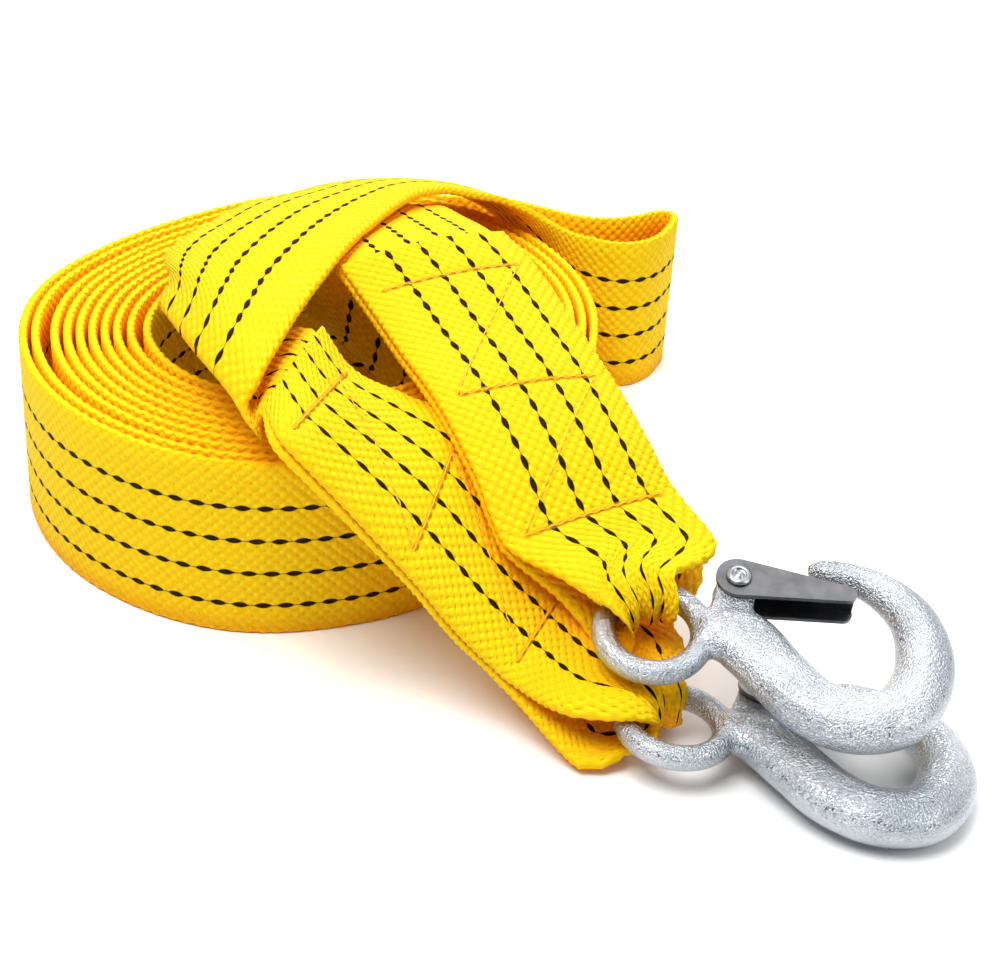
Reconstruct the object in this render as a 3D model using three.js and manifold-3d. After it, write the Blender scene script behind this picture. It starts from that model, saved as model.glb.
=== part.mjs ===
// A tow strap: one length of flat webbing, rolled on its edge, with a forged hook sewn to each end.
import * as THREE from "three";
import { mergeVertices } from "three/addons/utils/BufferGeometryUtils.js";
import Module from "manifold-3d";

const wasm = await Module();
wasm.setup();
const { Manifold } = wasm;

// Driving dimensions, in millimetres.
const webThick = 2.4;
const sewnGap = 0.4;
const webHeight = 50;
const coilTurns = 10;
const coilEnd = 9.6;
const stepsPerTurn = 40;
const gatherWidth = 12;
const gatherThick = 5.2;
const eyeRadius = 11.8;
const eyeWire = 3.1;
const barToLoop = 8.7;
const swingRoom = 1.1;
const underRoom = 0.3;
const loopCorner = 0.72;
const lugHalf = 3;
const spotRadius = 9.5;
const latchInside = 3.4;
const latchSheet = 1.1;
const earRadius = 5.5;
const tipRadius = 2.3;
const pinRadius = 2.2;
const headRadius = 3.1;
const headThick = 0.9;
const clearance = 0.3;
const lugRoom = 0.6;
const threadRadius = 0.45;
const threadRaised = 0.3;
const stitchMargin = 0.8;
const hairpin = 0.16;
const cutReach = 10;
const degrees = Math.PI / 180;

const vec = (x, y, z) => new THREE.Vector3(x, y, z);

const yellow = new THREE.MeshStandardMaterial({ color: 0xf2d30f, roughness: 0.8, metalness: 0 });
const orange = new THREE.MeshStandardMaterial({ color: 0xd9851a, roughness: 0.7, metalness: 0 });
const zinc = new THREE.MeshStandardMaterial({ color: 0xc9d2da, roughness: 0.25, metalness: 1 });
const steel = new THREE.MeshStandardMaterial({ color: 0x6c6c6e, roughness: 0.4, metalness: 1 });

// A closed body through a row of rings of points.
function loft(rings) {
  const count = rings[0].length;
  const positions = rings.flat().flatMap((p) => [p.x, p.y, p.z]);
  const faces = [];
  for (let i = 0; i + 1 < rings.length; i++)
    for (let j = 0; j < count; j++) {
      const a = i * count + j;
      const b = i * count + ((j + 1) % count);
      faces.push(a, b, b + count, a, b + count, a + count);
    }
  const last = (rings.length - 1) * count;
  for (let j = 1; j + 1 < count; j++) {
    faces.push(0, j + 1, j);
    faces.push(last, last + j, last + j + 1);
  }
  const geometry = new THREE.BufferGeometry();
  geometry.setAttribute("position", new THREE.Float32BufferAttribute(positions, 3));
  geometry.setIndex(faces);
  geometry.computeVertexNormals();
  return geometry;
}

function solidOf(geometry) {
  const plain = geometry.clone();
  plain.deleteAttribute("normal");
  plain.deleteAttribute("uv");
  const merged = mergeVertices(plain, 1e-4);
  const vertProperties = new Float32Array(merged.attributes.position.array);
  const triVerts = new Uint32Array(merged.index.array);
  return new Manifold(new wasm.Mesh({ numProp: 3, vertProperties, triVerts }));
}

function geometryOf(solid) {
  const mesh = solid.getMesh();
  const geometry = new THREE.BufferGeometry();
  geometry.setAttribute("position", new THREE.BufferAttribute(mesh.vertProperties, 3));
  geometry.setIndex(new THREE.BufferAttribute(mesh.triVerts, 1));
  geometry.computeVertexNormals();
  return geometry;
}

// Where each hook lies: its eye's centre, then yaw, slope of the way from eye to bowl, and tilt about it.
function lie(eye, yaw, slope, tilt) {
  const turn = new THREE.Euler(tilt * degrees, slope * degrees, yaw * degrees, "ZYX");
  const matrix = new THREE.Matrix4().makeRotationFromEuler(turn);
  matrix.setPosition(vec(...eye));
  return matrix;
}
const upperLie = lie([38.5, -106, 26.6], -9.5, 2, 18);
const lowerLie = lie([45, -119.5, 9.8], -11.5, 3.6, 0);

// The webbing's route. A span is a line across it, from the edge that is on top in the coil to the other.
function span(edge, other, thick = webThick) {
  const at = vec(...edge).add(vec(...other)).multiplyScalar(0.5);
  const across = vec(...other).sub(vec(...edge));
  const width = across.length();
  return { at, across: across.normalize(), width, thick };
}

// Radius of the coil's outside and of its bore about its middle, by angle in degrees.
const coilMiddle = [-54, 8];
const outside = [
  [0, 81], [30, 85], [60, 92.5], [80, 94], [105, 84], [130, 76], [155, 76], [180, 81],
  [210, 86], [237, 90.5], [262, 92], [285, 86], [310, 80], [335, 82],
];
const bore = [
  [0, 46], [45, 46], [90, 41], [120, 37], [155, 38], [180, 41],
  [210, 47], [240, 51], [270, 51], [300, 49], [330, 48],
];
const coilStart = 72;

// A smooth closed curve through radii given by angle.
function radiusAt(table, angle) {
  const turn = ((angle % 360) + 360) % 360;
  const count = table.length;
  let k = count - 1;
  while (table[k][0] > turn) k--;
  const knot = (i) => table[(i + count) % count][0] + 360 * Math.floor(i / count);
  const value = (i) => table[(i + count) % count][1];
  const slope = (i) => (value(i + 1) - value(i - 1)) / (knot(i + 1) - knot(i - 1));
  const width = knot(k + 1) - knot(k);
  const t = (turn - knot(k)) / width;
  const rise = value(k + 1) - value(k);
  const a = slope(k) * width - rise;
  const b = rise - slope(k + 1) * width;
  return value(k) + t * rise + t * (1 - t) * (a * (1 - t) + b * t);
}

// Slack between turns, which opens at the coil's left end: after how many turns, and how wide.
const slack = [[2.0, 1.8], [7.9, 0.4], [8.9, 1.2]];
const slackSide = 190;

function coilSpan(turns) {
  const angle = coilStart + 360 * turns;
  const from = radiusAt(outside, angle) - webThick / 2;
  const to = radiusAt(bore, angle) + webThick / 2;
  const open = Math.max(0, Math.cos((angle - slackSide) * degrees)) ** 1.5;
  let radius = from + ((to - from) * turns) / coilTurns;
  for (const [after, wide] of slack) {
    const passed = 1 / (1 + Math.exp((after - turns) * 14));
    radius -= wide * open * (passed - turns / coilTurns);
  }
  const x = coilMiddle[0] + radius * Math.cos(angle * degrees);
  const y = coilMiddle[1] + radius * Math.sin(angle * degrees);
  return span([x, y, webHeight], [x, y, 0]);
}

// The gathered loop round an eye's bar, from its upper side down through the eye to its lower side.
function eyeLoop(lieMatrix, towards, room) {
  const eye = new THREE.Vector3().setFromMatrixPosition(lieMatrix);
  const up = vec(0, 0, 1).transformDirection(lieMatrix);
  const ahead = vec(...towards).projectOnPlane(up).normalize();
  const bar = eye.clone().addScaledVector(ahead, -eyeRadius);
  const across = up.clone().cross(ahead);
  const over = eyeWire + gatherThick / 2 + sewnGap + room;
  const under = eyeWire + gatherThick / 2 + sewnGap + underRoom;
  const spot = (forward, upward) => ({
    at: bar.clone().addScaledVector(ahead, forward).addScaledVector(up, upward),
    across: across.clone(),
    width: gatherWidth,
    thick: gatherThick,
  });
  const corner = loopCorner;
  return [
    spot(0, over),
    spot(barToLoop * corner, over * corner),
    spot(barToLoop, 0),
    spot(barToLoop * corner, -under * corner),
    spot(0, -under),
  ];
}

// The layer under a sewn end's upper layer, which lies on it.
function layerUnder(upper) {
  return upper.map((s, i) => {
    const next = upper[Math.min(i + 1, upper.length - 1)].at;
    const before = upper[Math.max(i - 1, 0)].at;
    const normal = next.clone().sub(before).cross(s.across).normalize();
    if (normal.z > 0) normal.negate();
    return { ...s, at: s.at.clone().addScaledVector(normal, webThick + sewnGap) };
  });
}

// Sewn ends, from the cut to the last row of stitches. Edges first the coil's upper one.
const lowerEnd = [
  span([-54.5, -86, 66.5], [-45, -51, 70.5]),
  span([-50.5, -98.5, 67], [-39.5, -53, 63]),
  span([-35.5, -102, 53], [-26, -54.5, 57.5]),
  span([-21, -104.5, 38], [-11, -60, 53.8]),
  span([-8, -109.5, 25.5], [6, -66, 40]),
  span([4.5, -115, 16.5], [23, -71, 25]),
];
const lowerNeckOver = span([17, -123, 11.5], [42, -95, 16.5], 3);
const lowerNeckUnder = span([20, -127, 2.6], [42, -90, 3.4], 2.8);
const upperEnd = [
  span([-46, -17, 74], [-4, 12, 74.5]),
  span([-39, -26, 69.5], [5, -1, 71.5]),
  span([-28, -44, 64.5], [16, -20, 65]),
  span([-17, -62, 60.2], [26.5, -37.5, 58]),
  span([-6.5, -79, 51], [36, -54, 50]),
  span([2, -92, 39], [44, -65, 41.5]),
];
const upperNeckOver = span([17, -98, 34.5], [50, -77, 35.5], 3);
const upperNeckUnder = span([17, -96, 26], [49, -78, 27], 3);

// From the lower end's seam over the coil: a slanting fold at the left, a bridge back across the coil's
// top, and down behind it to the lobe.
const bridge = [
  span([-57.5, -86, 60.6], [-62, -35, 63.5]),
  span([-59, -82, 60.4], [-82, -27, 60.5]),
  span([-62, -79.5, 64.5], [-92.5, -24, 63]),
  span([-59.5, -76, 69.5], [-91, -18, 66.5]),
  span([-56.5, -62, 72.5], [-94, -9, 67]),
  span([-53, -44, 74.5], [-96, 2, 65]),
  span([-49, -27, 76], [-94, 12, 65]),
  span([-44.5, -6, 76], [-89, 26, 64]),
  span([-40, 12, 74.5], [-82, 42, 63.5]),
  span([-35, 28, 73.5], [-72, 57, 61.5]),
  span([-29.5, 42, 72], [-57, 74, 60]),
  span([-22, 54, 69], [-38, 85, 57.5]),
  span([-13, 60, 65.5], [-20, 92, 53.5]),
  span([-3, 66, 61.5], [-5, 92, 45]),
  span([7.5, 69, 56], [6, 85.5, 26]),
  span([15, 69.5, 52.5], [16, 76, 10]),
  span([23, 69, 51], [25, 70.5, 2]),
  span([31, 69, 50], [32, 69.5, 0]),
  span([38, 71, 50], [38, 71, 0]),
  span([44, 77, 50], [44, 77, 0]),
  span([47.5, 85, 50], [47.5, 85, 0]),
  span([49.5, 93, 50], [49.5, 93, 0]),
  span([48, 97, 50], [48, 97, 0]),
  span([44, 96.5, 50], [44, 96.5, 0]),
  span([38, 92, 50], [38, 92, 0]),
  span([29, 88, 50], [29, 88, 0]),
  span([19, 88, 50], [19, 88, 0]),
  span([8, 92.5, 50], [8, 92.5, 0]),
  span([-5, 97.5, 50], [-5, 97.5, 0]),
];

// From the coil's bore: across it, a slanting fold upright, back over the coil and round to the upper end.
const rise = [
  span([-21, -29, 50], [-22, -29, 0]),
  span([-13, -17, 50], [-14, -19, 0]),
  span([-13, -3, 50], [-11.5, -8, 0]),
  span([-23, 9, 50], [-12, 2, 0.5]),
  span([-38, 14, 50], [-14, 10, 1]),
  span([-52, 14.6, 49], [-16.5, 14.2, 3]),
  span([-58, 11.8, 48], [-18.5, 11.4, 4.5]),
  span([-57, 8.6, 51], [-16, 8.2, 9]),
  span([-57, 7.4, 55], [-12, 5.6, 28]),
  span([-57, 8, 59], [-9.5, 7, 44]),
  span([-57, 11, 61.5], [-9, 10, 54]),
  span([-58.5, 17, 62], [-11, 19, 58.5]),
  span([-61, 23, 60.5], [-17, 35, 58.5]),
  span([-64, 29, 59], [-23, 50, 57]),
  span([-66, 32.5, 61.5], [-26, 58.5, 60]),
  span([-63, 27, 64], [-24, 53.5, 63.5]),
  span([-57, 13, 66.5], [-16, 38, 67]),
];

function webRoute() {
  const coil = [];
  const count = Math.round(coilEnd * stepsPerTurn);
  for (let i = 0; i <= count; i++) coil.push(coilSpan((i * coilEnd) / count));
  const lowerLoop = eyeLoop(lowerLie, [0.82, -0.57, 0], 0);
  const upperLoop = eyeLoop(upperLie, [0.5, -0.85, 0], swingRoom);
  const before = [
    ...lowerEnd, lowerNeckOver, ...lowerLoop, lowerNeckUnder, ...layerUnder(lowerEnd).reverse(),
    ...bridge,
  ];
  const after = [
    ...rise, ...layerUnder(upperEnd), upperNeckUnder, ...upperLoop.reverse(), upperNeckOver,
    ...[...upperEnd].reverse(),
  ];
  return { before, coil, after };
}

// Smooth curves through a run of spans, a few steps from each to the next.
function refine(spans, steps) {
  const points = new THREE.CatmullRomCurve3(spans.map((s) => s.at));
  const ways = new THREE.CatmullRomCurve3(spans.map((s) => s.across), false, "catmullrom");
  const count = (spans.length - 1) * steps;
  const fine = [];
  for (let i = 0; i <= count; i++) {
    const k = Math.min(Math.floor(i / steps), spans.length - 2);
    const t = i / steps - k;
    const mix = (key) => spans[k][key] * (1 - t) + spans[k + 1][key] * t;
    const at = points.getPoint(i / count);
    const across = ways.getPoint(i / count).normalize();
    fine.push({ at, across, width: mix("width"), thick: mix("thick") });
  }
  return fine;
}

// The way ahead and the way out of the webbing's flat side, at each span.
function framed(spans) {
  return spans.map((s, i) => {
    const next = spans[Math.min(i + 1, spans.length - 1)].at;
    const before = spans[Math.max(i - 1, 0)].at;
    const ahead = next.clone().sub(before).normalize();
    const normal = ahead.clone().cross(s.across).normalize();
    return { ...s, ahead, normal };
  });
}

function webSpans() {
  const { before, coil, after } = webRoute();
  const steps = 3;
  const far = coil.length - 1;
  const head = refine([...before, coil[0], coil[4]], steps).slice(0, -steps);
  const tail = refine([coil[far - 4], coil[far], ...after], steps).slice(steps);
  return framed([...head, ...coil.slice(1, -1), ...tail]);
}

const web = webSpans();
const webRings = web.map((s) => {
  const corner = (a, b) => {
    const point = s.at
      .clone()
      .addScaledVector(s.across, (a * s.width) / 2)
      .addScaledVector(s.normal, (b * s.thick) / 2);
    return point.setZ(Math.max(point.z, 0));
  };
  return [corner(-1, -1), corner(1, -1), corner(1, 1), corner(-1, 1)];
});

// Hook forging. Its middle line from the eye to the tip, with half its width and half its thickness.
const spine = [
  [11, 3, 6, 4], [20, 3, 8.5, 5], [30, -5, 8, 5.5], [38, -11.5, 7.8, 6], [48, -14.5, 7.7, 6],
  [58, -11, 7.5, 6], [63, -2, 7.3, 5.8], [63.5, 8, 7, 5.5], [60, 18, 6, 5], [53, 24.5, 5, 4.2],
  [45, 27.5, 4, 3.5], [37, 28, 3.2, 2.8], [33.5, 27.4, 1.4, 1.4],
];
const pivot = [17.5, 18];
const lugRoot = [17, 8];
const latchTip = [43.5, 19.2];
const lugRadius = 5;
const sides = 16;

function cylinder(radius, low, high, [u, v], segments = 40) {
  return Manifold.cylinder(high - low, radius, radius, segments).translate([u, v, low]);
}

function hookSolid() {
  const path = new THREE.CatmullRomCurve3(spine.map(([u, v]) => vec(u, v, 0)));
  const sizes = new THREE.CatmullRomCurve3(spine.map(([, , half, thick]) => vec(half, thick, 0)));
  const steps = (spine.length - 1) * 4;
  const rings = [];
  for (let i = 0; i <= steps; i++) {
    const t = i / steps;
    const at = path.getPoint(t);
    const size = sizes.getPoint(t);
    const out = path.getTangent(t).cross(vec(0, 0, 1)).normalize();
    const ring = [];
    for (let j = 0; j < sides; j++) {
      const angle = (2 * Math.PI * j) / sides;
      const point = at.clone().addScaledVector(out, size.x * Math.cos(angle));
      ring.push(point.setZ(size.y * Math.sin(angle)));
    }
    rings.push(ring.reverse());
  }
  const eye = solidOf(new THREE.TorusGeometry(eyeRadius, eyeWire, sides, 40));
  const lug = Manifold.hull([
    cylinder(lugRadius, -lugHalf, lugHalf, pivot),
    cylinder(lugRadius, -lugHalf, lugHalf, lugRoot),
  ]);
  const hole = cylinder(pinRadius + clearance, -cutReach, cutReach, pivot);
  const spots = cylinder(spotRadius, lugHalf, cutReach, pivot)
    .add(cylinder(spotRadius, -cutReach, -lugHalf, pivot));
  return solidOf(loft(rings)).add(eye).subtract(spots).add(lug).subtract(hole);
}

// Latch: a channel of sheet steel, its two ears on the rivet and its tip inside the hook's tip.
function latchSolid() {
  const half = latchInside + latchSheet;
  const outline = Manifold.hull([
    cylinder(earRadius, -half, half, pivot),
    cylinder(tipRadius, -half, half, latchTip),
  ]);
  const along = Math.hypot(latchTip[0] - pivot[0], latchTip[1] - pivot[1]);
  const lean = Math.atan2(latchTip[1] - pivot[1], latchTip[0] - pivot[0]) / degrees;
  const narrowing = Math.asin((earRadius - tipRadius) / along) / degrees;
  const room = Manifold.cube([2 * along, 2 * cutReach, 2 * latchInside])
    .translate([-2 * cutReach, earRadius - latchSheet - 2 * cutReach, -latchInside])
    .rotate([0, 0, lean - narrowing])
    .translate([pivot[0], pivot[1], 0]);
  const round = cylinder(lugRadius + lugRoom, -latchInside, latchInside, pivot);
  const hole = cylinder(pinRadius + clearance, -cutReach, cutReach, pivot);
  return outline.subtract(room).subtract(round).subtract(hole);
}

// Rivet: a pin with a flat head on each end, standing just clear of the ears.
function rivetSolid() {
  const out = latchInside + latchSheet + clearance;
  return cylinder(pinRadius, -out - headThick / 2, out + headThick / 2, pivot)
    .add(cylinder(headRadius, out, out + headThick, pivot))
    .add(cylinder(headRadius, -out - headThick, -out, pivot));
}

// One thread through a sewn end's rows: across, round, slantwise to the next row, and across again. Rows
// are given as places along the route, and side is 1 or -1 as the webbing's outer side is up or down.
function stitching(rows, side, reach) {
  const round = Math.sign(rows[1] - rows[0]) * hairpin;
  const marks = [];
  const line = (a, b, steps) => {
    for (let i = 0; i <= steps; i++) marks.push([0, 1].map((k) => a[k] + ((b[k] - a[k]) * i) / steps));
  };
  rows.forEach((row, i) => {
    line([row, -stitchMargin], [row, reach], 12);
    if (i + 1 === rows.length) return;
    marks.push([row + round / 2, reach + hairpin / 5]);
    line([row + round, reach], [rows[i + 1] - round, -stitchMargin], 14);
    marks.push([rows[i + 1] - round / 2, -stitchMargin - hairpin / 5]);
  });
  const height = threadRadius + threadRaised;
  const points = marks.map(([along, across]) => {
    const k = Math.floor(along);
    const place = (s) =>
      s.at
        .clone()
        .addScaledVector(s.across, (across * s.width) / 2)
        .addScaledVector(s.normal, side * (s.thick / 2 + height));
    const at = place(web[k]).lerp(place(web[k + 1]), along - k);
    return { at, up: web[k].normal.clone().multiplyScalar(side) };
  });
  const rings = points.map(({ at, up }, i) => {
    const next = points[Math.min(i + 1, points.length - 1)].at;
    const ahead = next.clone().sub(points[Math.max(i - 1, 0)].at).normalize();
    const out = ahead.clone().cross(up).normalize();
    const top = out.clone().cross(ahead);
    return [0, 1, 2, 3, 4, 5].map((j) =>
      at
        .clone()
        .addScaledVector(out, threadRadius * Math.cos((j * Math.PI) / 3))
        .addScaledVector(top, threadRadius * Math.sin((j * Math.PI) / 3)),
    );
  });
  return loft(rings.map((ring) => ring.reverse()));
}

const parts = new THREE.Group();
function add(name, geometry, material, matrix) {
  if (matrix) geometry.applyMatrix4(matrix);
  const mesh = new THREE.Mesh(geometry, material);
  mesh.name = name;
  parts.add(mesh);
  return mesh;
}

const rowPlaces = [3, 9, 15];
const far = web.length - 1;
add("webbing", loft(webRings), yellow);
add("stitching_lower", stitching(rowPlaces, 1, 0.5), orange);
add("stitching_upper", stitching(rowPlaces.map((place) => far - place), -1, stitchMargin), orange);
for (const [which, matrix] of [["upper", upperLie], ["lower", lowerLie]]) {
  add(`hook_${which}`, geometryOf(hookSolid()), zinc, matrix);
  add(`latch_${which}`, geometryOf(latchSolid()), steel, matrix);
  add(`rivet_${which}`, geometryOf(rivetSolid()), steel, matrix);
}

// The origin is moved to the middle of the whole, at the floor.
const box = new THREE.Box3();
parts.children.forEach((mesh) => box.expandByObject(mesh, true));
const middle = box.getCenter(vec(0, 0, 0));
parts.children.forEach((mesh) => mesh.geometry.translate(-middle.x, -middle.y, -box.min.z));

export default parts;
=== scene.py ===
import math

import bpy
import numpy as np
from mathutils import Matrix, Vector


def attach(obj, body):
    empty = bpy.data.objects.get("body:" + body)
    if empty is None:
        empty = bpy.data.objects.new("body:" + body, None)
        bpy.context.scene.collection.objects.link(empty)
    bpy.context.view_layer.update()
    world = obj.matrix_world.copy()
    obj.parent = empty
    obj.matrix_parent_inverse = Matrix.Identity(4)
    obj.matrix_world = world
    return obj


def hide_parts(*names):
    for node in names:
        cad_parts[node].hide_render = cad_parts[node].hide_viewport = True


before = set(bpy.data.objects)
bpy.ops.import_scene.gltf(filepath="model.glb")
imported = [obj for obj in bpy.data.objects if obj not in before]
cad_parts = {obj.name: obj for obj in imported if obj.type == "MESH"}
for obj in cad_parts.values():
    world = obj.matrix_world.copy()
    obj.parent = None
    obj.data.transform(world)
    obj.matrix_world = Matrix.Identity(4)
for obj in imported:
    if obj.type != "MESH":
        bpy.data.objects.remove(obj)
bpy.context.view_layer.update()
print("frame loaded")

# Lengths are in millimetres up to the making of a mesh. The route is laid out about its own origin.
mm = 0.001
shift = np.array([9.399, 25.313, 0.0])
webThick = 2.4
sewnGap = 0.4
webHeight = 50.0
coilTurns = 10
coilEnd = 9.6
gather = {"thick": 5.2, "pleat": 1.2}
eye = {"radius": 11.8, "wire": 3.1, "barToLoop": 6.4, "corner": 0.72, "under": 0.3, "swing": 1.1}
tracers = {"first": 12.4, "apart": 9.73, "pitch": 5.6, "halfLong": 2.3, "halfWide": 0.85}
weave = {"column": 1.66, "pitch": 3.2}


def span(edge, other, thick=webThick):
    edge, other = np.array(edge, float), np.array(other, float)
    return np.hstack([(edge + other) / 2, other - edge, thick, 0, 0, 0])


# Smooth line through points: x1 + t1 t + c2 t^2 + c3 t^3 on each gap, its slopes t1 and t2 from the
# square roots of the three nearest gaps. Each gap gets the same number of steps.
def smoothLine(points, steps):
    last = len(points) - 1
    padded = np.vstack([2 * points[0] - points[1], points, 2 * points[-1] - points[-2]])
    place = np.linspace(0, last, last * steps + 1)
    k = np.minimum(place.astype(int), last - 1)
    t = (place - k)[:, None]
    x0, x1, x2, x3 = (padded[k + i] for i in range(4))
    d0, d1, d2 = (
        np.maximum(np.linalg.norm(b - a, axis=1, keepdims=True) ** 0.5, 1e-4)
        for a, b in [(x0, x1), (x1, x2), (x2, x3)]
    )
    t1 = ((x1 - x0) / d0 - (x2 - x0) / (d0 + d1) + (x2 - x1) / d1) * d1
    t2 = ((x2 - x1) / d1 - (x3 - x1) / (d1 + d2) + (x3 - x2) / d2) * d1
    c2 = -3 * x1 + 3 * x2 - 2 * t1 - t2
    c3 = 2 * x1 - 2 * x2 + t1 + t2
    return x1 + t1 * t + c2 * t**2 + c3 * t**3


# Radii of the coil's outside and of its bore about its middle, by angle in degrees.
coilMiddle = np.array([-54.0, 8.0])
coilStart = 72
outside = [
    [0, 81], [30, 85], [60, 92.5], [80, 94], [105, 84], [130, 76], [155, 76], [180, 81],
    [210, 86], [237, 90.5], [262, 92], [285, 86], [310, 80], [335, 82],
]
bore = [
    [0, 46], [45, 46], [90, 41], [120, 37], [155, 38], [180, 41],
    [210, 47], [240, 51], [270, 51], [300, 49], [330, 48],
]
slack = [[2.0, 1.8], [7.9, 0.4], [8.9, 1.2]]
slackSide = 190
slackSteep = 14
slackSharp = 1.5


# Closed curve through radii given by angle: y0 + t dy + t (1 - t) (a (1 - t) + b t).
def radiusAt(table, angle):
    knots, values = np.array(table, float).T
    count = len(knots)
    turn = angle % 360
    k = np.searchsorted(knots, turn, side="right") - 1
    knot = lambda i: knots[i % count] + 360 * (i // count)
    value = lambda i: values[i % count]
    slope = lambda i: (value(i + 1) - value(i - 1)) / (knot(i + 1) - knot(i - 1))
    width = knot(k + 1) - knot(k)
    t = (turn - knot(k)) / width
    rise = value(k + 1) - value(k)
    a = slope(k) * width - rise
    b = rise - slope(k + 1) * width
    return value(k) + t * rise + t * (1 - t) * (a * (1 - t) + b * t)


# Coil: radius = from + (to - from) turns / coilTurns, less the slack opened at its left side.
def coilSpans(turns):
    angle = coilStart + 360 * turns
    start = radiusAt(outside, angle) - webThick / 2
    end = radiusAt(bore, angle) + webThick / 2
    side = np.maximum(0, np.cos(np.radians(angle - slackSide))) ** slackSharp
    radius = start + (end - start) * turns / coilTurns
    for after, wide in slack:
        passed = 1 / (1 + np.exp((after - turns) * slackSteep))
        radius = radius - wide * side * (passed - turns / coilTurns)
    x = coilMiddle[0] + radius * np.cos(np.radians(angle))
    y = coilMiddle[1] + radius * np.sin(np.radians(angle))
    one = np.ones_like(x)
    zero = 0 * x
    return np.column_stack([
        x, y, webHeight / 2 * one, zero, zero, -webHeight * one, webThick * one, zero, zero, zero,
    ])


# Turn of a hook about its eye's centre: yaw, then the slope of its length, then the tilt about it.
def lie(place, yaw, slope, tilt):
    turn = Matrix.Rotation(math.radians(yaw), 4, "Z") @ Matrix.Rotation(math.radians(slope), 4, "Y")
    return Matrix.Translation(place) @ turn @ Matrix.Rotation(math.radians(tilt), 4, "X")


upperLie = lie([38.5, -106, 26.6], -9.5, 2, 18)
lowerLie = lie([45, -119.5, 9.8], -11.5, 3.6, 0)


# The gathered loop round an eye's bar: five places, each bent round the eye as a saddle. The last three
# numbers of a row are the bend, the way forward over the radius.
def eyeLoop(matrix, towards, room, widths):
    up = np.array(matrix.to_3x3() @ Vector((0, 0, 1)))
    ahead = np.array(towards, float)
    ahead = ahead - up * (ahead @ up)
    ahead /= np.linalg.norm(ahead)
    bar = np.array(matrix.translation) - ahead * eye["radius"]
    across = np.cross(up, ahead)
    over = eye["wire"] + gather["thick"] / 2 + sewnGap + room
    under = eye["wire"] + gather["thick"] / 2 + sewnGap + eye["under"]
    reach, corner = eye["barToLoop"], eye["corner"]
    spots = [
        (0, over), (reach * corner, over * corner), (reach, 0),
        (reach * corner, -under * corner), (0, -under),
    ]
    return [
        np.hstack([bar + ahead * f + up * u, across * w, gather["thick"], ahead / (eye["radius"] - f)])
        for (f, u), w in zip(spots, widths)
    ]


# A neck's span, bent forward a little.
def neck(edge, other, thick, forward):
    row = span(edge, other, thick)
    row[7:] = forward
    return row


# Layer under a sewn end's upper layer, set down by a thickness and a gap.
def layerUnder(upper):
    rows = np.array(upper)
    place = np.arange(len(rows))
    way = rows[np.minimum(place + 1, len(rows) - 1), :3] - rows[np.maximum(place - 1, 0), :3]
    normal = np.cross(way, rows[:, 3:6])
    normal /= np.linalg.norm(normal, axis=1, keepdims=True)
    normal *= -np.sign(normal[:, 2:])
    rows[:, :3] += normal * (webThick + sewnGap)
    return list(rows)


lowerEnd = [
    span([-57, -82, 67], [-47.5, -47, 71]),
    span([-50.5, -98.5, 67], [-39.5, -53, 63]),
    span([-35.5, -102, 53], [-26, -54.5, 57.5]),
    span([-21, -104.5, 38], [-11, -60, 53.8]),
    span([-8, -109.5, 25.5], [6, -66, 40]),
    span([4.5, -115, 16.5], [23, -71, 25]),
]
lowerNeckOver = neck([14.5, -121, 14], [43, -91, 18], 3, [0.020, -0.014, 0])
lowerNeckUnder = neck([20, -127, 2.6], [42, -90, 3.4], 2.8, [0.012, -0.008, 0])
upperEnd = [
    span([-46, -17, 74], [-4, 12, 74.5]),
    span([-39, -26, 69.5], [5, -1, 71.5]),
    span([-28, -44, 64.5], [16, -20, 65]),
    span([-17, -62, 60.2], [26.5, -37.5, 58]),
    span([-6.5, -79, 51], [36, -54, 50]),
    span([2, -92, 39], [44, -65, 41.5]),
]
upperNeckOver = neck([14, -97.5, 36], [52, -75, 36], 3, [0.013, -0.022, 0])
upperNeckUnder = neck([17, -96, 26], [50.5, -77, 27], 3, [0.008, -0.013, 0])
bridge = [
    span([-57.5, -86, 60.6], [-62, -35, 63.5]),
    span([-59, -82, 60.4], [-82, -27, 60.5]),
    span([-62, -79.5, 64.5], [-92.5, -24, 63]),
    span([-59.5, -76, 69.5], [-91, -18, 66.5]),
    span([-56.5, -62, 72.5], [-94, -9, 67]),
    span([-53, -44, 74.5], [-96, 2, 65]),
    span([-49, -27, 76], [-94, 12, 65]),
    span([-44.5, -6, 76], [-89, 26, 64]),
    span([-40, 12, 74.5], [-82, 42, 63.5]),
    span([-35, 28, 73.5], [-72, 57, 61.5]),
    span([-29.5, 42, 72], [-57, 74, 60]),
    span([-22, 54, 69], [-38, 85, 57.5]),
    span([-13, 60, 65.5], [-20, 92, 53.5]),
    span([-3, 66, 61.5], [-5, 92, 45]),
    span([7.5, 69, 56], [6, 85.5, 26]),
    span([15, 69.5, 52.5], [16, 76, 10]),
    span([23, 69, 51], [25, 70.5, 2]),
    span([31, 69, 50], [32, 69.5, 0]),
    span([38, 71, 50], [38, 71, 0]),
    span([44, 77, 50], [44, 77, 0]),
    span([47.5, 85, 50], [47.5, 85, 0]),
    span([49.5, 93, 50], [49.5, 93, 0]),
    span([48, 97, 50], [48, 97, 0]),
    span([44, 96.5, 50], [44, 96.5, 0]),
    span([38, 92, 50], [38, 92, 0]),
    span([29, 88, 50], [29, 88, 0]),
    span([19, 88, 50], [19, 88, 0]),
    span([8, 92.5, 50], [8, 92.5, 0]),
    span([-5, 97.5, 50], [-5, 97.5, 0]),
]
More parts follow.
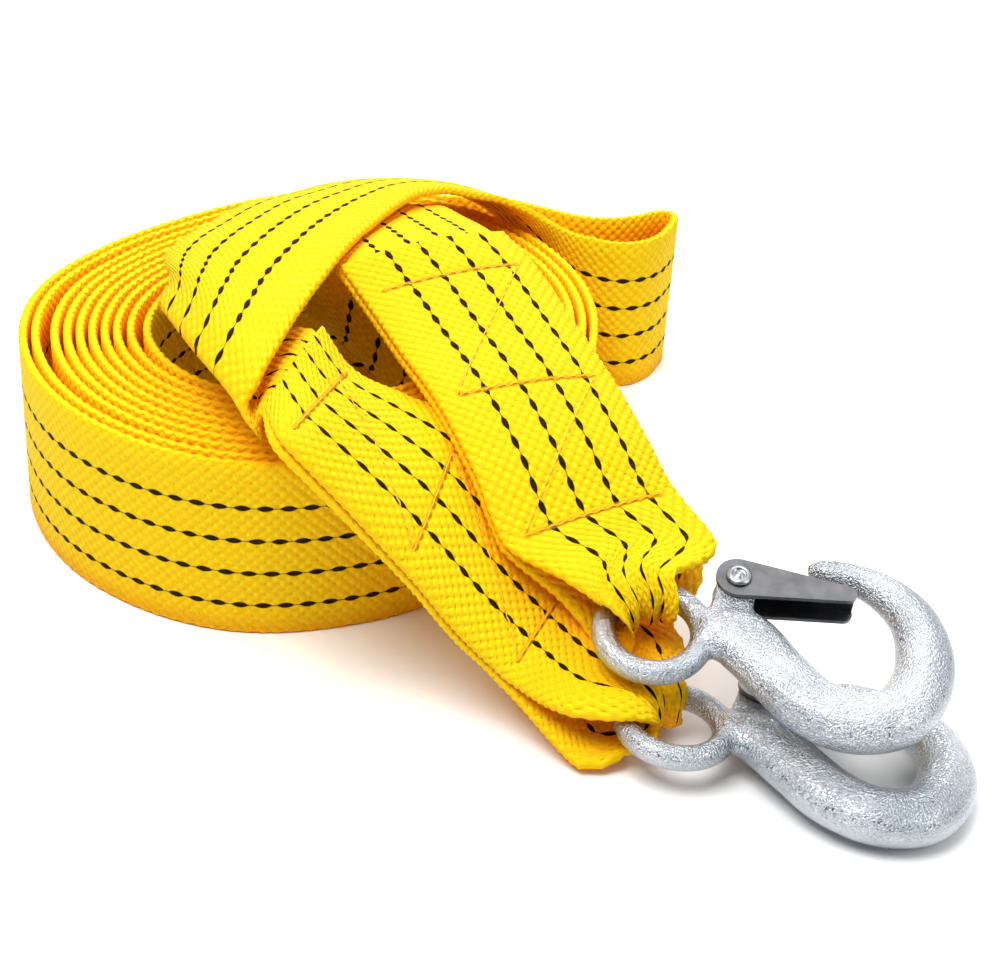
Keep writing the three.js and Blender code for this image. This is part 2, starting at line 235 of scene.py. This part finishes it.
rise = [
    span([-21, -29, 50], [-22, -29, 0]),
    span([-13, -17, 50], [-14, -19, 0]),
    span([-13, -3, 50], [-11.5, -8, 0]),
    span([-23, 9, 50], [-12, 2, 0.5]),
    span([-38, 14, 50], [-14, 10, 1]),
    span([-52, 14.6, 49], [-16.5, 14.2, 3]),
    span([-58, 11.8, 48], [-18.5, 11.4, 4.5]),
    span([-57, 8.6, 51], [-16, 8.2, 9]),
    span([-57, 7.4, 55], [-12, 5.6, 28]),
    span([-57, 8, 59], [-9.5, 7, 44]),
    span([-57, 11, 61.5], [-9, 10, 54]),
    span([-58.5, 17, 62], [-11, 19, 58.5]),
    span([-61, 23, 60.5], [-17, 35, 58.5]),
    span([-64, 29, 59], [-23, 50, 57]),
    span([-66, 32.5, 61.5], [-26, 58.5, 60]),
    span([-63, 27, 64], [-24, 53.5, 63.5]),
    span([-57, 13, 66.5], [-16, 38, 67]),
]


# The whole route, evenly stepped: the place, the way across, the width, the thickness and the length so
# far of each ring, with the lengths at which the rows of stitches lie.
def webRoute(stepEnds=1.1, stepCoil=2.0):
    before = [
        *lowerEnd, lowerNeckOver,
        *eyeLoop(lowerLie, [0.82, -0.57, 0], 0, [26, 20, 14.5, 20, 26]),
        lowerNeckUnder, *layerUnder(lowerEnd)[::-1], *bridge,
    ]
    after = [
        *rise, *layerUnder(upperEnd), upperNeckUnder,
        *eyeLoop(upperLie, [0.5, -0.85, 0], eye["swing"], [22, 19, 14.5, 20, 24])[::-1],
        upperNeckOver, *upperEnd[::-1],
    ]
    steps = 24
    leadIn = coilSpans(np.array([0, 0.1]))
    leadOut = coilSpans(np.array([coilEnd - 0.1, coilEnd]))

    def refined(spans):
        rows = np.array(spans)
        width = np.linalg.norm(rows[:, 3:6], axis=1)
        at = smoothLine(rows[:, :3], steps)
        across = smoothLine(rows[:, 3:6] / width[:, None], steps)
        place = np.linspace(0, len(rows) - 1, len(at))
        index = np.arange(len(rows))
        flat = [np.interp(place, index, value) for value in (width, *rows[:, 6:].T)]
        return np.column_stack([at, across, *flat])

    head = refined([*before, *leadIn])[: -steps]
    tail = refined([*leadOut, *after])[steps:]
    coil = coilSpans(np.linspace(0, coilEnd, 2400))[1:-1]
    wide = np.full(len(coil), webHeight)
    coil = np.column_stack([coil[:, :3], coil[:, 3:6] / webHeight, wide, coil[:, 6:]])
    rows = np.vstack([head, coil, tail])
    length = np.hstack([0, np.cumsum(np.linalg.norm(np.diff(rows[:, :3], axis=0), axis=1))])
    stitched = [length[k * steps] for k in (1, 3, 5)]
    stitched += [length[-1 - k * steps] for k in (1, 3, 5)]
    headLength, tailLength = length[len(head)], length[len(head) + len(coil)]
    even = np.hstack([
        np.linspace(0, headLength, round(headLength / stepEnds), endpoint=False),
        np.linspace(headLength, tailLength, round((tailLength - headLength) / stepCoil), endpoint=False),
        np.linspace(tailLength, length[-1], round((length[-1] - tailLength) / stepEnds)),
    ])
    rows = np.column_stack([np.interp(even, length, column) for column in rows.T])
    rows[:, 3:6] /= np.linalg.norm(rows[:, 3:6], axis=1, keepdims=True)
    return {"at": rows[:, :3], "across": rows[:, 3:6], "width": rows[:, 6], "thick": rows[:, 7],
            "bend": rows[:, 8:], "length": even, "stitched": stitched}


route = webRoute()
ahead = np.gradient(route["at"], axis=0)
ahead /= np.linalg.norm(ahead, axis=1, keepdims=True)
normal = np.cross(ahead, route["across"])
normal /= np.linalg.norm(normal, axis=1, keepdims=True)
route["normal"] = normal
print("route", len(normal), "rings,", round(route["length"][-1]), "mm")


# How far the middle of the sheet stands off its spans, at place t from -1 to 1 across: a crown that turns
# upwards, crown * nz * (1 - t^2), pleats where it is gathered, and a pinch at each row of stitches.
crown = 2.6
stitchPinch = {"deep": 0.55, "half": 1.3}


def standOff(t):
    share = route["width"] / webHeight
    lift = crown * normal[:, 2] * share**2
    spare = np.clip((route["thick"] - webThick) / (gather["thick"] - webThick), 0, 1)
    pleat = gather["pleat"] * spare
    pinch = np.zeros(len(share))
    for k, row in enumerate(route["stitched"]):
        side = -1 if k < 3 else 1
        away = (route["length"] - row) / stitchPinch["half"]
        pinch += side * stitchPinch["deep"] * np.exp(-(away**2))
    edge = 1 - t**6
    return (
        lift[:, None] * (1 - t**2)[None, :]
        + pleat[:, None] * np.cos(3 * math.pi * t)[None, :]
        + pinch[:, None] * edge[None, :]
    )


# Places across the sheet, bent forward: x goes to a (1 - cos k x) / k ahead and sin k x / k across.
def bentAcross(bend, across, x):
    k = np.maximum(np.linalg.norm(bend, axis=1), 1e-6)[:, None]
    way = bend / k
    forward = (1 - np.cos(k * x)) / k
    return across[:, None, :] * (np.sin(k * x) / k)[:, :, None] + way[:, None, :] * forward[:, :, None]


# Makes an object from points in millimetres on the part's own origin, quads by index, and other faces.
def meshObject(name, points, faces, uv=None):
    mesh = bpy.data.meshes.new(name)
    mesh.from_pydata(((points + shift) * mm).tolist(), [], faces)
    if uv is not None:
        layer = mesh.uv_layers.new(name="weave")
        index = np.zeros(len(mesh.loops), int)
        mesh.loops.foreach_get("vertex_index", index)
        layer.data.foreach_set("uv", uv[index].astype(np.float32).ravel())
    mesh.validate()
    mesh.polygons.foreach_set("use_smooth", np.ones(len(mesh.polygons), bool))
    thing = bpy.data.objects.new(name, mesh)
    bpy.context.scene.collection.objects.link(thing)
    return thing


# Quads between neighbouring rings of one size, each ring closed on itself.
def tubeFaces(rings, count):
    i, j = np.meshgrid(np.arange(rings - 1), np.arange(count), indexing="ij")
    a, b = i * count + j, i * count + (j + 1) % count
    return np.stack([a, b, b + count, a + count], -1).reshape(-1, 4).tolist()


# Webbing: p = at + across t w / 2 + normal (standOff + s thick / 2), round a flat section with soft
# edges. It is drawn a little thinner than the webbing, and its edges jag from ring to ring.
halfSheet = webThick / 2 * 0.94
section = {"columns": 11, "inset": 0.5, "jag": 0.22, "offFloor": 0.02}
rimLevel = [0.7, 0.0, -0.7]
rimOut = [0.35, 0.55, 0.35]


def makeWebbing():
    columns = section["columns"]
    t = np.linspace(-1, 1, columns)
    rim = np.array(rimLevel)
    place = np.hstack([t, [1, 1, 1], t[::-1], [-1, -1, -1]])
    out = np.hstack([np.zeros(columns), rimOut, np.zeros(columns), rimOut])
    level = np.hstack([np.ones(columns), rim, -np.ones(columns), -rim])
    measure = webHeight / 2 * (1 + place) + np.sign(place) * out * 2
    width = route["width"]
    count = len(width)
    jag = np.where(np.arange(count) % 2, section["jag"], -section["jag"])[:, None]
    jag = jag * (np.abs(place) > 0.99)[None, :]
    reach = place[None, :] * (width[:, None] / 2 - section["inset"])
    reach = reach + np.sign(place)[None, :] * (out[None, :] + jag)
    offset = standOff(place) + level[None, :] * halfSheet
    points = (
        route["at"][:, None, :]
        + bentAcross(route["bend"], route["across"], reach)
        + normal[:, None, :] * offset[:, :, None]
    )
    points[:, :, 2] = np.maximum(points[:, :, 2], section["offFloor"])
    ring = len(place)
    faces = tubeFaces(count, ring)
    j = np.arange(columns - 1)
    back = 2 * columns + 2 - j
    for start, flip in ((0, False), ((count - 1) * ring, True)):
        cap = np.stack([j, back, back - 1, j + 1], -1) + start
        ends = [[columns - 1, *range(columns + 3, columns - 1, -1)], [0, *range(ring - 1, ring - 5, -1)]]
        ends = [(np.array(end) + start).tolist() for end in ends]
        ends[0] = ends[0][::-1]
        faces += [face[::-1] if flip else face for face in cap.tolist()]
        faces += ends
    uv = np.stack(np.broadcast_arrays(route["length"][:, None], measure[None, :]), -1)
    uv = uv.reshape(-1, 2) * mm
    return meshObject("webbing_sheet", points.reshape(-1, 3), faces, uv)


webbing = makeWebbing()
print("webbing", len(webbing.data.polygons), "faces")


# Stitching: a thread through three rows and the slants between them, its middle line
# rise + dip cos(2 pi s / pitch) off the outer face, so that it dips under between stitches.
thread = {"radius": 0.2, "rise": 0.1, "dip": 0.28, "pitch": 3.4, "step": 0.45, "start": -0.8, "sides": 8}
marksInRow = 40
marksInSlant = 60


def makeStitching(name, rows, side, reach):
    start = thread["start"]
    marks = []
    for k, row in enumerate(rows):
        t = np.linspace(start, reach, marksInRow)
        marks.append(np.column_stack([np.full(marksInRow, row), t]))
        if k + 1 < len(rows):
            t = np.linspace(reach, start, marksInSlant)
            marks.append(np.column_stack([np.linspace(row, rows[k + 1], marksInSlant), t]))
    marks = np.vstack(marks)
    local = {
        key: np.column_stack([np.interp(marks[:, 0], route["length"], c) for c in route[key].T])
        for key in ("at", "across", "normal")
    }
    width = np.interp(marks[:, 0], route["length"], route["width"])
    t = marks[:, 1]
    lift = crown * local["normal"][:, 2] * (width / webHeight) ** 2 * (1 - t**2)
    sunk = np.min(np.abs(marks[:, :1] - np.array(rows)[None, :]), axis=1)
    lift = lift - side * stitchPinch["deep"] * np.exp(-((sunk / stitchPinch["half"]) ** 2))
    line = local["at"] + local["across"] * (t * width / 2)[:, None] + local["normal"] * lift[:, None]
    run = np.hstack([0, np.cumsum(np.linalg.norm(np.diff(line, axis=0), axis=1))])
    even = np.arange(0, run[-1], thread["step"])
    line = np.column_stack([np.interp(even, run, c) for c in line.T])
    up = np.column_stack([np.interp(even, run, c) for c in local["normal"].T]) * side
    wave = np.cos(2 * math.pi * even / thread["pitch"])
    off = halfSheet + thread["rise"] + thread["dip"] * wave
    line = line + up * off[:, None]
    way = np.gradient(line, axis=0)
    way /= np.linalg.norm(way, axis=1, keepdims=True)
    out = np.cross(way, up)
    out /= np.linalg.norm(out, axis=1, keepdims=True)
    top = np.cross(out, way)
    angle = np.linspace(0, 2 * math.pi, thread["sides"], endpoint=False)[None, :, None]
    rings = line[:, None, :] + thread["radius"] * (
        out[:, None, :] * np.cos(angle) + top[:, None, :] * np.sin(angle)
    )
    count = thread["sides"]
    faces = tubeFaces(len(line), count)
    faces += [list(range(count))[::-1], list(range((len(line) - 1) * count, len(line) * count))]
    return meshObject(name, rings.reshape(-1, 3), faces)


stitchingLower = makeStitching("stitching_lower_thread", route["stitched"][:3], 1, 0.5)
stitchingUpper = makeStitching("stitching_upper_thread", route["stitched"][3:], -1, 0.8)

# Hook: its middle line from the eye to the tip, with half its width and half its thickness.
spine = np.array([
    [11, 3, 6, 4], [20, 3, 8.5, 5], [30, -5, 8, 5.5], [38, -11.5, 7.8, 6], [48, -14.5, 7.7, 6],
    [58, -11, 7.5, 6], [63, -2, 7.3, 5.8], [63.5, 8, 7, 5.5], [60, 18, 6, 5], [53, 24.5, 5, 4.2],
    [45, 27.5, 4, 3.5], [37, 28, 3.2, 2.8], [33.5, 27.4, 1.4, 1.4],
], float)
pivot = np.array([17.5, 18.0])
lug = {"radius": 5.0, "half": 3.0, "root": [17.0, 8.0]}
latch = {"inside": 3.4, "sheet": 1.1}
rivet = {"pin": 2.2, "head": 3.1, "thick": 0.9, "clearance": 0.3, "sides": 48}
forging = {"lineSteps": 12, "bodySides": 40, "wireSides": 28, "ringSteps": 96, "voxel": 0.5, "easing": 20}


def placed(points, matrix):
    turn = np.array(matrix.to_3x3())
    return points @ turn.T + np.array(matrix.translation)


# Tube round a line in a hook's own plane: ring = line + out a cos(angle) + z b sin(angle).
def flatTube(line, sizes, sides, closed=False):
    way = np.roll(line, -1, 0) - np.roll(line, 1, 0) if closed else np.gradient(line, axis=0)
    way /= np.linalg.norm(way, axis=1, keepdims=True)
    out = np.column_stack([way[:, 1], -way[:, 0], np.zeros(len(way))])
    angle = np.linspace(0, 2 * math.pi, sides, endpoint=False)
    rings = line[:, None, :] + out[:, None, :] * (sizes[:, :1] * np.cos(angle)[None, :])[:, :, None]
    rings[:, :, 2] += sizes[:, 1:] * np.sin(angle)[None, :]
    faces = tubeFaces(len(line), sides)
    last = (len(line) - 1) * sides
    if closed:
        j = np.arange(sides)
        faces += np.stack([last + j, last + (j + 1) % sides, (j + 1) % sides, j], -1).tolist()
    else:
        faces += [list(range(sides))[::-1], list(range(last, last + sides))]
    return rings.reshape(-1, 3), [face[::-1] for face in faces]


# Prism of an outline in the hook's plane, between two heights.
def prism(outline, low, high):
    count = len(outline)
    points = np.vstack([np.column_stack([outline, np.full(count, z)]) for z in (low, high)])
    faces = tubeFaces(2, count) + [list(range(count))[::-1], list(range(count, 2 * count))]
    return points, faces


# Outline round two circles: the hull of both, as the arcs that face away from each other.
def hullOutline(a, ra, b, rb, steps=24):
    a, b = np.array(a, float), np.array(b, float)
    lean = math.atan2(*(b - a)[::-1])
    spread = math.acos((ra - rb) / np.linalg.norm(b - a))
    far = lean + np.linspace(-spread, spread, steps)
    near = lean + np.linspace(spread, 2 * math.pi - spread, steps)
    arc = lambda c, r, g: c + r * np.column_stack([np.cos(g), np.sin(g)])
    return np.vstack([arc(b, rb, far), arc(a, ra, near)])


def joined(pieces):
    points, faces, start = [], [], 0
    for piece, quads in pieces:
        points.append(piece)
        faces += [[i + start for i in face] for face in quads]
        start += len(piece)
    return np.vstack(points), faces


# Forging: body, eye and lug run together, remeshed fine and eased, so that they meet in soft hollows.
def makeHook(name, matrix):
    line = smoothLine(np.column_stack([spine[:, :2], np.zeros(len(spine))]), forging["lineSteps"])
    sizes = smoothLine(spine[:, 2:], forging["lineSteps"])
    turn = np.linspace(0, 2 * math.pi, forging["ringSteps"], endpoint=False)
    ring = eye["radius"] * np.column_stack([np.cos(turn), np.sin(turn), 0 * turn])
    wire = np.full((len(turn), 2), eye["wire"])
    outline = hullOutline(pivot, lug["radius"], lug["root"], lug["radius"])
    points, faces = joined([
        flatTube(line, sizes, forging["bodySides"]),
        flatTube(ring, wire, forging["wireSides"], closed=True),
        prism(outline, -lug["half"], lug["half"]),
    ])
    hook = meshObject(name, placed(points, matrix), faces)
    remesh = hook.modifiers.new("remesh", "REMESH")
    remesh.mode = "VOXEL"
    remesh.voxel_size = forging["voxel"] * mm
    smooth = hook.modifiers.new("ease", "SMOOTH")
    smooth.iterations = forging["easing"]
    smooth.factor = 0.5
    depsgraph = bpy.context.evaluated_depsgraph_get()
    mesh = bpy.data.meshes.new_from_object(hook.evaluated_get(depsgraph))
    hook.modifiers.clear()
    hook.data = mesh
    mesh.polygons.foreach_set("use_smooth", np.ones(len(mesh.polygons), bool))
    return hook


hookUpper = makeHook("hook_upper_forging", upperLie)
hookLower = makeHook("hook_lower_forging", lowerLie)
print("hooks", len(hookUpper.data.polygons), "faces")


# Rivet: a profile turned about the pivot's axis, each head dished inside a raised ring.
def makeRivet(name, matrix):
    out = latch["inside"] + latch["sheet"] + rivet["clearance"]
    top = out + rivet["thick"]
    half = np.array([
        [0.0, top], [0.7, top - 0.12], [1.15, top - 0.6], [1.5, top - 0.7], [1.75, top - 0.15],
        [2.05, top], [2.35, top - 0.2], [rivet["head"] - 0.1, top - 0.4], [rivet["head"], out + 0.2],
        [rivet["head"] - 0.15, out], [rivet["pin"], out],
    ])
    profile = np.vstack([half, half[::-1] * [1, -1]])
    turn = np.linspace(0, 2 * math.pi, rivet["sides"], endpoint=False)
    x = pivot[0] + profile[:, :1] * np.cos(turn)[None, :]
    y = pivot[1] + profile[:, :1] * np.sin(turn)[None, :]
    z = np.broadcast_to(profile[:, 1:], x.shape)
    points = np.stack([x, y, z], -1).reshape(-1, 3)
    faces = [face[::-1] for face in tubeFaces(len(profile), rivet["sides"])]
    return meshObject(name, placed(points, matrix), faces)


rivetUpper = makeRivet("rivet_upper_turned", upperLie)
rivetLower = makeRivet("rivet_lower_turned", lowerLie)


# One output of a shader node, which Python's own maths works on.
class Wire:
    def __init__(self, tree, out):
        self.tree = tree
        self.out = out

    def math(self, operation, *values):
        return makeNode(self.tree, "Math", {"operation": operation}, dict(enumerate((self, *values))))

    def __add__(self, other):
        return self.math("ADD", other)

    def __sub__(self, other):
        return self.math("SUBTRACT", other)

    def __rsub__(self, other):
        return makeNode(self.tree, "Math", {"operation": "SUBTRACT"}, {0: other, 1: self})

    def __mul__(self, other):
        return self.math("MULTIPLY", other)

    def __truediv__(self, other):
        return self.math("DIVIDE", other)

    def __pow__(self, other):
        return self.math("POWER", other)

    __radd__ = __add__
    __rmul__ = __mul__

    def least(self, other):
        return self.math("MINIMUM", other)

    def most(self, other):
        return self.math("MAXIMUM", other)

    def ramp(self, low, high):
        sockets = {"Value": self, "From Min": low, "From Max": high}
        return makeNode(self.tree, "MapRange", {"interpolation_type": "SMOOTHSTEP"}, sockets)

    # Another output of the same node.
    def beside(self, index):
        return Wire(self.tree, self.out.node.outputs[index])


# Adds one node to a tree: its settings first, then its sockets' values or links, by name or number.
def makeNode(tree, kind, settings=None, sockets=None, out=0):
    node = tree.nodes.new("ShaderNode" + kind)
    for name, value in (settings or {}).items():
        setattr(node, name, value)
    for name, value in (sockets or {}).items():
        if isinstance(value, Wire):
            tree.links.new(value.out, node.inputs[name])
        else:
            node.inputs[name].default_value = value
    return Wire(tree, node.outputs[out]) if node.outputs else None


def mixColours(tree, share, low, high):
    return makeNode(tree, "Mix", {"data_type": "RGBA"}, {0: share, 6: low, 7: high}, out=2)


# A material and its nodes.
class Paint:
    def __init__(self, name):
        self.material = bpy.data.materials.new(name)
        self.material.use_nodes = True
        self.tree = self.material.node_tree
        self.tree.nodes.clear()

    def make(self, kind, settings=None, sockets=None, out=0):
        return makeNode(self.tree, kind, settings, sockets, out)

    def mix(self, share, low, high):
        return mixColours(self.tree, share, low, high)

    def noise(self, scale, detail=3.0, vector=None):
        vector = vector or self.make("TexCoord", out=3)
        return self.make("TexNoise", None, {"Vector": vector, "Scale": scale, "Detail": detail})

    def finish(self, **sockets):
        names = {name.replace("_", " "): value for name, value in sockets.items()}
        shader = self.make("BsdfPrincipled", None, names)
        self.make("OutputMaterial", None, {"Surface": shader})
        return self.material


# Webbing: staggered bumps as 0.5 + 0.4 c + 0.2 |c| with c = cos cos, their valleys painted darker orange
# as shade, dark tracer dashes of lens shape, d / w + (u / l)^2 < 1, on a hair line, and a pinched line at
# each row of stitches painted darker orange as the shadow in the pinch. Crevices are painted orange as
# shade, with a faint painted glow.
def webbingMaterial():
    paint = Paint("webbing_weave")
    uv = paint.make("UVMap", {"uv_map": "weave"})
    metres = paint.make("SeparateXYZ", None, {0: uv})
    along = metres / mm
    across = metres.beside(1) / mm
    patchy = paint.noise(160.0)
    wander = (paint.noise(420.0, 2.0) - 0.5) * 0.5
    u = along + wander
    cell = (across * (math.pi / weave["column"])).math("COSINE")
    cell = cell * (u * (2 * math.pi / weave["pitch"])).math("COSINE")
    height = 0.5 + cell * 0.4 + cell.math("ABSOLUTE") * 0.2

    line = ((across - tracers["first"]) / tracers["apart"] + 0.5).math("FLOOR").most(0).least(3)
    aside = (across - (line * tracers["apart"] + tracers["first"])).math("ABSOLUTE")
    phase = along / tracers["pitch"] + line * 0.37 + (patchy - 0.5) * 0.12
    step = (phase.math("FRACT") - 0.5) * tracers["pitch"]
    lens = aside / tracers["halfWide"] + (step / tracers["halfLong"]) ** 2
    dash = 1 - lens.ramp(0.8, 1.12)
    hair = (1 - aside.ramp(0.05, 0.24)) * 0.75
    dark = dash.most(hair)

    rows = None
    for k, row in enumerate(route["stitched"]):
        mark = 1 - (along - row).math("ABSOLUTE").ramp(0.2, 1.0)
        rows = mark if rows is None else rows.most(mark)
    edges = across.ramp(4.0, 5.5) * (1 - across.ramp(44.5, 46.0))
    rows = rows * edges
    dark = dark * (1 - rows * 0.8)

    # Painted shade: the weave's valleys are painted darker orange than its bumps, as the shade that falls
    # between them.
    base = paint.mix(height.ramp(0.15, 0.8), (0.87, 0.48, 0.002, 1), (0.99, 0.71, 0.005, 1))
    base = paint.mix(patchy.ramp(0.35, 0.75) * 0.2, base, (0.98, 0.62, 0.003, 1))
    # Painted shadow: each row of stitches is painted darker orange, as the shade in the pinch that the
    # thread pulls in.
    base = paint.mix(rows * (0.5 + patchy * 0.6).least(1.0), base, (0.80, 0.30, 0.003, 1))
    # Painted shade: crevices and the coil's bore, where ambient occlusion finds the surface closed in,
    # are painted orange.
    openness = paint.make("AmbientOcclusion", {"samples": 8}, {"Distance": 0.04}, out=1)
    closed = 1 - openness.ramp(0.05, 0.8)
    base = paint.mix(closed * 0.75, base, (0.98, 0.33, 0.0, 1))
    # Painted light: a faint orange glow in the crevices, stronger on the bumps, stands in for light
    # bounced between layers; kept off the tracer dashes.
    paintedBounceGlow = paint.mix(closed * height.ramp(0.0, 1.2), (0, 0, 0, 1), (1.0, 0.34, 0.01, 1))
    paintedBounceGlow = paint.mix(dark, paintedBounceGlow, (0, 0, 0, 1))
    base = paint.mix(dark, base, (0.020, 0.008, 0.002, 1))
    relief = height * 0.8 + dash * 0.35 - rows * 0.6 + patchy * 0.15
    bump = paint.make("Bump", None, {"Height": relief, "Strength": 1.0, "Distance": 0.0009})
    return paint.finish(Base_Color=base, Roughness=0.68, Normal=bump, Specular_IOR_Level=0.1,
                        Emission_Color=paintedBounceGlow, Emission_Strength=0.07)


def threadMaterial():
    paint = Paint("sewing_thread")
    fine = paint.noise(900.0)
    base = paint.mix(fine, (0.90, 0.44, 0.003, 1), (0.98, 0.60, 0.004, 1))
    return paint.finish(Base_Color=base, Roughness=0.5)


# Zinc on a forging: cool bright metal, its skin slightly rough in specks.
def zincMaterial():
    paint = Paint("zinc_plate")
    broad = paint.noise(45.0, 4.0)
    specks = paint.noise(1700.0, 3.0)
    base = paint.mix(broad.ramp(0.3, 0.7), (0.44, 0.48, 0.52, 1), (0.66, 0.69, 0.72, 1))
    rough = 0.14 + broad * 0.1
    relief = broad * 0.25 + specks.ramp(0.35, 0.65) * 0.5
    bump = paint.make("Bump", None, {"Height": relief, "Strength": 0.8, "Distance": 0.0005})
    return paint.finish(Base_Color=base, Metallic=1.0, Roughness=rough, Normal=bump)


def steelMaterial(name, low, high):
    paint = Paint(name)
    grain = paint.noise(300.0, 4.0)
    base = paint.mix(grain, low, high)
    rough = 0.26 + grain * 0.14
    bump = paint.make("Bump", None, {"Height": grain, "Strength": 0.12, "Distance": 0.0003})
    return paint.finish(Base_Color=base, Metallic=1.0, Roughness=rough, Normal=bump)


latchSteel = steelMaterial("latch_steel", (0.15, 0.15, 0.155, 1), (0.30, 0.30, 0.31, 1))
rivetSteel = steelMaterial("rivet_steel", (0.34, 0.34, 0.36, 1), (0.5, 0.51, 0.53, 1))
looks = [
    (webbing, "strap", "webbing", ["webbing"], webbingMaterial()),
    (stitchingLower, "strap", "thread", ["stitching_lower"], threadMaterial()),
    (stitchingUpper, "strap", "thread", ["stitching_upper"], threadMaterial()),
    (hookLower, "strap", "zinc", ["hook_lower"], zincMaterial()),
    (hookUpper, "upper_hook", "zinc", ["hook_upper"], zincMaterial()),
    (rivetLower, "strap", "steel", ["rivet_lower"], rivetSteel),
    (rivetUpper, "upper_hook", "steel", ["rivet_upper"], rivetSteel),
]
for thing, body, slot, nodes, material in looks:
    thing.data.materials.clear()
    thing.data.materials.append(material)
    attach(thing, body)
    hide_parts(*nodes)
for which in ("upper", "lower"):
    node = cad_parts[f"latch_{which}"]
    node.data.materials.clear()
    node.data.materials.append(latchSteel)
    bevel = node.modifiers.new("edges", "BEVEL")
    bevel.width = 0.25 * mm
    bevel.segments = 2
    bevel.limit_method = "ANGLE"
print("materials set")

# Floor, light and camera, in metres.
floorHalf = 4
floorMesh = bpy.data.meshes.new("floor")
corners = [(x * floorHalf, y * floorHalf, 0) for x, y in ((-1, -1), (1, -1), (1, 1), (-1, 1))]
floorMesh.from_pydata(corners, [], [(0, 1, 2, 3)])
floor = bpy.data.objects.new("floor", floorMesh)
bpy.context.scene.collection.objects.link(floor)
floorPaint = Paint("floor")
floorMesh.materials.append(floorPaint.finish(Base_Color=(0.93, 0.925, 0.915, 1), Roughness=0.9))

# Sky: dark slate low down and in front, for the metal to mirror, and white above and behind.
darkSky = (0.05, 0.07, 0.10, 1)
brightSky = (1.06, 1.06, 1.06, 1)
world = bpy.data.worlds.new("studio")
bpy.context.scene.world = world
world.use_nodes = True
tree = world.node_tree
tree.nodes.clear()
way = makeNode(tree, "SeparateXYZ", None, {0: makeNode(tree, "TexCoord")})
behind, above = way.beside(1), way.beside(2)
share = (above * 0.8 + behind * 0.6).ramp(0.3, 0.58) * above.ramp(0.16, 0.36)
colour = mixColours(tree, share, darkSky, brightSky)
sky = makeNode(tree, "Background", None, {"Color": colour, "Strength": 1.0})
makeNode(tree, "OutputWorld", None, {"Surface": sky})


def softLight(name, place, size, power, target=(0, 0, 0.03)):
    lamp = bpy.data.lights.new(name, "AREA")
    lamp.energy = power
    lamp.size = size
    thing = bpy.data.objects.new(name, lamp)
    thing.location = place
    thing.rotation_euler = (Vector(target) - Vector(place)).to_track_quat("-Z", "Y").to_euler()
    bpy.context.scene.collection.objects.link(thing)


softLight("key", (-0.3, -0.3, 1.0), 0.6, 10)
softLight("fill", (0.9, -0.5, 0.7), 0.5, 3)
softLight("back", (0.2, 0.9, 0.7), 0.8, 5)

focalPixels, framePixels = 1920, 1000
cameraPlace = (0.0094, -0.45469, 0.286)
pitch, roll = math.radians(30.8), math.radians(4.1)
look = Vector((0, math.cos(pitch), -math.sin(pitch)))
right = Vector((1, 0, 0))
up = right.cross(look)
tilted = right * math.cos(roll) + up * math.sin(roll)
upward = up * math.cos(roll) - right * math.sin(roll)
view = bpy.data.cameras.new("camera")
view.sensor_width = 36
view.lens = focalPixels / framePixels * view.sensor_width
view.clip_start = 0.01
camera = bpy.data.objects.new("camera", view)
turn = Matrix((tilted, upward, -look)).transposed().to_4x4()
camera.matrix_world = Matrix.Translation(cameraPlace) @ turn
bpy.context.scene.collection.objects.link(camera)
bpy.context.scene.camera = camera
bpy.context.scene.view_settings.view_transform = "Standard"
print("light and camera set")
